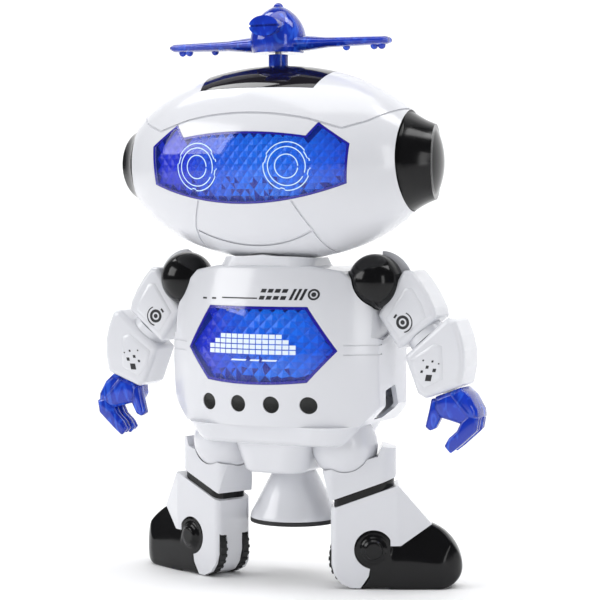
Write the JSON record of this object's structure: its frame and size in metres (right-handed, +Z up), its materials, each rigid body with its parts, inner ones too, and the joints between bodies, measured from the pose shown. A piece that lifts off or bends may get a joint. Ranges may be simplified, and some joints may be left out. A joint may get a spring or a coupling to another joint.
{
  "type": "toy robot",
  "caption": "Upright humanoid toy robot with a wide oval head, blue visor and chest lens, swivelling arms, yawing legs, spinning propeller and a turntable cone.",
  "frame": {"origin": "on the floor between the feet, on the axis of the head and the propeller", "axes": "+Z up, -Y is the robot's front, +X is the robot's own left"},
  "size_m": [0.1868, 0.076, 0.2553],
  "materials": {
    "white_shell": "glossy cool white ABS",
    "blue_clear": "translucent royal blue, polished",
    "blue_facets": "faceted reflector, blue",
    "smoked_black": "smoked, polished",
    "black_gloss": "gloss black",
    "black_rubber": "matt rubber",
    "steel": "zinc plated",
    "cell_jacket": "dry cell jacket",
    "contact_metal": "plated spring metal",
    "inner_plastic": "natural moulded",
    "circuit_board": "green board",
    "switch_black": "matt black"
  },
  "bodies": {
    "torso": {"torso_front_shell": "white_shell", "torso_rear_shell": "white_shell", "chest_lens": "blue_clear", "chest_reflector": "blue_facets", "vent_plugs": "black_gloss", "pelvis_shell": "white_shell", "hip_pins": "steel", "shoulder_frame": "inner_plastic", "battery_holder": "inner_plastic", "batteries": "cell_jacket", "battery_contacts": "contact_metal", "battery_cover": "white_shell", "cover_screw": "steel", "case_screws": "steel", "speaker": "switch_black", "main_board": "circuit_board", "gearbox_frame": "inner_plastic", "motor": "steel"},
    "head": {"head_front_shell": "white_shell", "head_rear_shell": "white_shell", "crown_window": "smoked_black", "visor_lens": "blue_clear", "visor_reflector": "blue_facets", "ear_pod_left": "black_gloss", "ear_pod_right": "black_gloss", "propeller_sleeve": "blue_clear", "neck_post": "inner_plastic", "head_frame": "inner_plastic", "head_light_board": "circuit_board"},
    "propeller": {"propeller": "blue_clear", "propeller_shaft": "steel"},
    "base": {"base_cone": "white_shell", "base_ring": "black_rubber", "drive_shaft": "steel", "output_gear": "inner_plastic"},
    "idler": {"idler_gear": "inner_plastic"},
    "pinion": {"motor_pinion": "inner_plastic"},
    "switch": {"power_switch": "switch_black"},
    "upper_arm_left": {"shoulder_ball_left": "black_gloss", "upper_arm_front_left": "white_shell", "upper_arm_back_left": "white_shell"},
    "forearm_left": {"forearm_front_left": "white_shell", "forearm_back_left": "white_shell"},
    "hand_left": {"hand_left": "blue_clear"},
    "leg_left": {"thigh_shell_left": "white_shell", "knee_band_left": "black_gloss", "boot_shell_left": "white_shell", "toe_cap_left": "black_gloss"},
    "heel_wheels_left": {"heel_wheels_left": "black_rubber"},
    "upper_arm_right": {"shoulder_ball_right": "black_gloss", "upper_arm_front_right": "white_shell", "upper_arm_back_right": "white_shell"},
    "forearm_right": {"forearm_front_right": "white_shell", "forearm_back_right": "white_shell"},
    "hand_right": {"hand_right": "blue_clear"},
    "leg_right": {"thigh_shell_right": "white_shell", "knee_band_right": "black_gloss", "boot_shell_right": "white_shell", "toe_cap_right": "black_gloss"},
    "heel_wheels_right": {"heel_wheels_right": "black_rubber"}
  },
  "joints": [
    {"name": "head_turn", "type": "hinge", "parent": "torso", "child": "head", "pos_m": [0, 0, 0.1408], "axis": [0, 0, 1], "range_deg": [-25, 25]},
    {"name": "propeller_spin", "type": "hinge", "parent": "head", "child": "propeller", "pos_m": [0, 0, 0.2332], "axis": [0, 0, 1], "continuous": true},
    {"name": "base_spin", "type": "hinge", "parent": "torso", "child": "base", "pos_m": [0, 0.0167, 0.049], "axis": [0, 0, 1], "continuous": true},
    {"name": "idler_spin", "type": "hinge", "parent": "torso", "child": "idler", "pos_m": [0, 0.0007, 0.0692], "axis": [0, 0, 1], "continuous": true},
    {"name": "motor_spin", "type": "hinge", "parent": "torso", "child": "pinion", "pos_m": [-0.01503, -0.00477, 0.0716], "axis": [0, 0, 1], "continuous": true},
    {"name": "power_slide", "type": "slide", "parent": "torso", "child": "switch", "axis": [1, 0, 0], "range_m": [0, 0.004]},
    {"name": "shoulder_left", "type": "hinge", "parent": "torso", "child": "upper_arm_left", "pos_m": [0.046, 0.001, 0.134], "axis": [1, 0, 0], "range_deg": [-100, 45]},
    {"name": "elbow_left", "type": "hinge", "parent": "upper_arm_left", "child": "forearm_left", "pos_m": [0.06645, 0.007, 0.11195], "axis": [0.6561, 0, -0.7547], "range_deg": [-90, 90]},
    {"name": "wrist_left", "type": "hinge", "parent": "forearm_left", "child": "hand_left", "pos_m": [0.07825, 0.007, 0.08765], "axis": [0.3584, 0, -0.9336], "range_deg": [-90, 90]},
    {"name": "hip_left", "type": "hinge", "parent": "torso", "child": "leg_left", "pos_m": [0.0294, 0.00605, 0.062], "axis": [0, 0, 1], "range_deg": [-80, 0]},
    {"name": "heel_roll_left", "type": "hinge", "parent": "leg_left", "child": "heel_wheels_left", "pos_m": [0.03492, 0.00839, 0.013], "axis": [0.3907, -0.9205, 0], "continuous": true},
    {"name": "shoulder_right", "type": "hinge", "parent": "torso", "child": "upper_arm_right", "pos_m": [-0.046, 0.001, 0.134], "axis": [1, 0, 0], "range_deg": [-100, 45]},
    {"name": "elbow_right", "type": "hinge", "parent": "upper_arm_right", "child": "forearm_right", "pos_m": [-0.06645, 0.007, 0.11195], "axis": [-0.6561, 0, -0.7547], "range_deg": [-90, 90]},
    {"name": "wrist_right", "type": "hinge", "parent": "forearm_right", "child": "hand_right", "pos_m": [-0.07825, 0.007, 0.08765], "axis": [-0.3584, 0, -0.9336], "range_deg": [-90, 90]},
    {"name": "hip_right", "type": "hinge", "parent": "torso", "child": "leg_right", "pos_m": [-0.0294, 0.00605, 0.062], "axis": [0, 0, 1], "range_deg": [0, 80]},
    {"name": "heel_roll_right", "type": "hinge", "parent": "leg_right", "child": "heel_wheels_right", "pos_m": [-0.03492, 0.00839, 0.013], "axis": [-0.3907, -0.9205, 0], "continuous": true}
  ],
  "couplings": [
    {"joint": "idler_spin", "follows": "base_spin", "ratio": -3},
    {"joint": "motor_spin", "follows": "base_spin", "ratio": 9}
  ]
}
